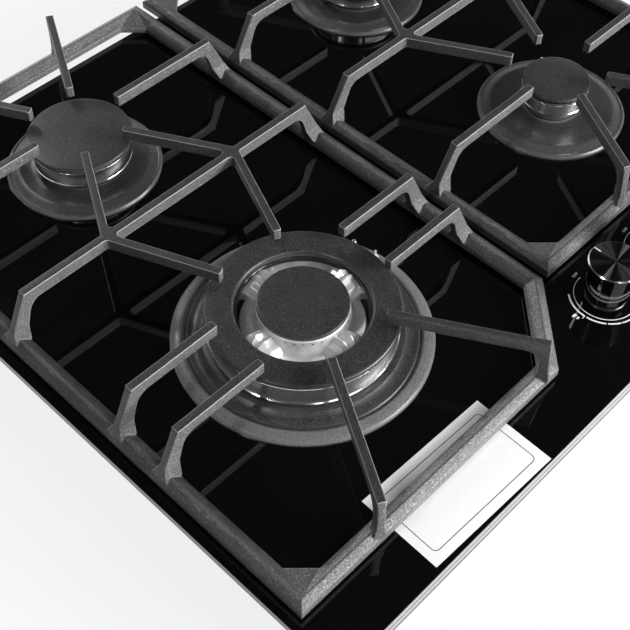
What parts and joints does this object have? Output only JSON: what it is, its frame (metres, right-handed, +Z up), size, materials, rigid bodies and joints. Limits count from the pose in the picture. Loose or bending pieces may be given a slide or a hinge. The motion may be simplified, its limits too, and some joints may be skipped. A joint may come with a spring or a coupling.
{
  "type": "gas cooktop",
  "caption": "Built-in gas cooktop: black glass top with gas burners, cast-iron pan supports, push-and-turn knobs and a steel under-tray with gas rail, taps and ignition.",
  "frame": {"origin": "centre of the clamp-hole pattern on the tray's underside, below the glass's centre", "axes": "+X to the user's right along the glass's width, +Y to the back, +Z up"},
  "size_m": [0.6, 0.5196, 0.1062],
  "materials": {
    "black_glass": "polished, opaque black",
    "foam": "matte foam",
    "tray_steel": "galvanised sheet",
    "cast_iron": "matte enamelled, worn edges",
    "rubber": "matte",
    "enamel": "satin vitreous enamel",
    "ring_enamel": "satin enamel with fine speckle",
    "cup_aluminium": "die cast",
    "crown_metal": "turned and polished",
    "gasket": "matte fibre",
    "brass": "turned",
    "ceramic": "glazed",
    "steel": "plain",
    "tap_alloy": "die cast",
    "spring_steel": "drawn wire",
    "knob_black": "gloss sides, spun top",
    "black_plastic": "matte",
    "pipe_aluminium": "drawn tube",
    "lead_red": "silicone sleeve",
    "lead_copper": "copper capillary",
    "paper": "coated paper"
  },
  "bodies": {
    "base": {"blank_label": "paper", "bottom_tray": "tray_steel", "burner_gaskets": "gasket", "burner_straps": "tray_steel", "cable_gland": "black_plastic", "feed_pipes": "pipe_aluminium", "gas_inlet_elbow": "brass", "gas_rail": "steel", "gas_taps": "tap_alloy", "glass_top": "black_glass", "ignition_leads": "lead_red", "ignition_module": "black_plastic", "ignition_switches": "black_plastic", "injectors": "brass", "knob_bezels": "rubber", "m3_screws": "steel", "rear_left_cup": "cup_aluminium", "rear_left_spill_ring": "ring_enamel", "rear_right_cup": "cup_aluminium", "rear_right_spill_ring": "ring_enamel", "simmer_cup": "cup_aluminium", "simmer_spill_ring": "ring_enamel", "spark_electrodes": "ceramic", "tap_bonnets": "steel", "terminal_block": "black_plastic", "thermocouple_leads": "lead_copper", "thermocouples": "steel", "tray_screws": "steel", "wok_cup": "cup_aluminium", "wok_spill_ring": "ring_enamel", "worktop_seal": "foam"},
    "left_support": {"left_pan_support": "cast_iron", "left_support_feet": "rubber"},
    "right_support": {"right_pan_support": "cast_iron", "right_support_feet": "rubber"},
    "wok_crown": {"wok_flame_spreader": "crown_metal"},
    "wok_ring_lid": {"wok_ring_cap": "enamel"},
    "wok_centre_lid": {"wok_centre_cap": "enamel"},
    "rear_left_crown": {"rear_left_flame_spreader": "crown_metal"},
    "rear_left_lid": {"rear_left_cap": "enamel"},
    "rear_right_crown": {"rear_right_flame_spreader": "crown_metal"},
    "rear_right_lid": {"rear_right_cap": "enamel"},
    "simmer_crown": {"simmer_flame_spreader": "crown_metal"},
    "simmer_lid": {"simmer_cap": "enamel"},
    "tap_plug_1": {"tap_cone_1": "brass", "spindle_spring_1": "spring_steel"},
    "knob_stem_1": {"tap_spindle_1": "steel", "knob_1": "knob_black"},
    "tap_plug_2": {"tap_cone_2": "brass", "spindle_spring_2": "spring_steel"},
    "knob_stem_2": {"tap_spindle_2": "steel", "knob_2": "knob_black"},
    "tap_plug_3": {"tap_cone_3": "brass", "spindle_spring_3": "spring_steel"},
    "knob_stem_3": {"tap_spindle_3": "steel", "knob_3": "knob_black"},
    "tap_plug_4": {"tap_cone_4": "brass", "spindle_spring_4": "spring_steel"},
    "knob_stem_4": {"tap_spindle_4": "steel", "knob_4": "knob_black"}
  },
  "joints": [
    {"name": "left_support_lift", "type": "slide", "parent": "base", "child": "left_support", "axis": [0, 0, 1], "range_m": [0, 0.12]},
    {"name": "right_support_lift", "type": "slide", "parent": "base", "child": "right_support", "axis": [0, 0, 1], "range_m": [0, 0.12]},
    {"name": "wok_crown_lift", "type": "slide", "parent": "base", "child": "wok_crown", "axis": [0, 0, 1], "range_m": [0, 0.03]},
    {"name": "wok_ring_lid_lift", "type": "slide", "parent": "base", "child": "wok_ring_lid", "axis": [0, 0, 1], "range_m": [0, 0.06]},
    {"name": "wok_centre_lid_lift", "type": "slide", "parent": "base", "child": "wok_centre_lid", "axis": [0, 0, 1], "range_m": [0, 0.06]},
    {"name": "rear_left_crown_lift", "type": "slide", "parent": "base", "child": "rear_left_crown", "axis": [0, 0, 1], "range_m": [0, 0.03]},
    {"name": "rear_left_lid_lift", "type": "slide", "parent": "base", "child": "rear_left_lid", "axis": [0, 0, 1], "range_m": [0, 0.06]},
    {"name": "rear_right_crown_lift", "type": "slide", "parent": "base", "child": "rear_right_crown", "axis": [0, 0, 1], "range_m": [0, 0.03]},
    {"name": "rear_right_lid_lift", "type": "slide", "parent": "base", "child": "rear_right_lid", "axis": [0, 0, 1], "range_m": [0, 0.06]},
    {"name": "simmer_crown_lift", "type": "slide", "parent": "base", "child": "simmer_crown", "axis": [0, 0, 1], "range_m": [0, 0.03]},
    {"name": "simmer_lid_lift", "type": "slide", "parent": "base", "child": "simmer_lid", "axis": [0, 0, 1], "range_m": [0, 0.06]},
    {"name": "tap_1_turn", "type": "hinge", "parent": "base", "child": "tap_plug_1", "pos_m": [0.022, -0.1944, 0.0215], "axis": [0, 0, 1], "range_deg": [0, 210]},
    {"name": "knob_1_push", "type": "slide", "parent": "tap_plug_1", "child": "knob_stem_1", "axis": [0, 0, -1], "range_m": [0, 0.004], "stiffness_N_per_m": 900, "springref_m": -0.004, "deforming": ["spindle_spring_1"]},
    {"name": "tap_2_turn", "type": "hinge", "parent": "base", "child": "tap_plug_2", "pos_m": [0.082, -0.1944, 0.0215], "axis": [0, 0, 1], "range_deg": [0, 210]},
    {"name": "knob_2_push", "type": "slide", "parent": "tap_plug_2", "child": "knob_stem_2", "axis": [0, 0, -1], "range_m": [0, 0.004], "stiffness_N_per_m": 900, "springref_m": -0.004, "deforming": ["spindle_spring_2"]},
    {"name": "tap_3_turn", "type": "hinge", "parent": "base", "child": "tap_plug_3", "pos_m": [0.142, -0.1944, 0.0215], "axis": [0, 0, 1], "range_deg": [0, 210]},
    {"name": "knob_3_push", "type": "slide", "parent": "tap_plug_3", "child": "knob_stem_3", "axis": [0, 0, -1], "range_m": [0, 0.004], "stiffness_N_per_m": 900, "springref_m": -0.004, "deforming": ["spindle_spring_3"]},
    {"name": "tap_4_turn", "type": "hinge", "parent": "base", "child": "tap_plug_4", "pos_m": [0.202, -0.1944, 0.0215], "axis": [0, 0, 1], "range_deg": [0, 210]},
    {"name": "knob_4_push", "type": "slide", "parent": "tap_plug_4", "child": "knob_stem_4", "axis": [0, 0, -1], "range_m": [0, 0.004], "stiffness_N_per_m": 900, "springref_m": -0.004, "deforming": ["spindle_spring_4"]}
  ],
  "couplings": [
    {"joint": "wok_crown_lift", "follows": "left_support_lift", "ratio": 0.25},
    {"joint": "wok_ring_lid_lift", "follows": "left_support_lift", "ratio": 0.5},
    {"joint": "wok_centre_lid_lift", "follows": "left_support_lift", "ratio": 0.5},
    {"joint": "rear_left_crown_lift", "follows": "left_support_lift", "ratio": 0.25},
    {"joint": "rear_left_lid_lift", "follows": "left_support_lift", "ratio": 0.5},
    {"joint": "rear_right_crown_lift", "follows": "right_support_lift", "ratio": 0.25},
    {"joint": "rear_right_lid_lift", "follows": "right_support_lift", "ratio": 0.5},
    {"joint": "simmer_crown_lift", "follows": "right_support_lift", "ratio": 0.25},
    {"joint": "simmer_lid_lift", "follows": "right_support_lift", "ratio": 0.5}
  ]
}
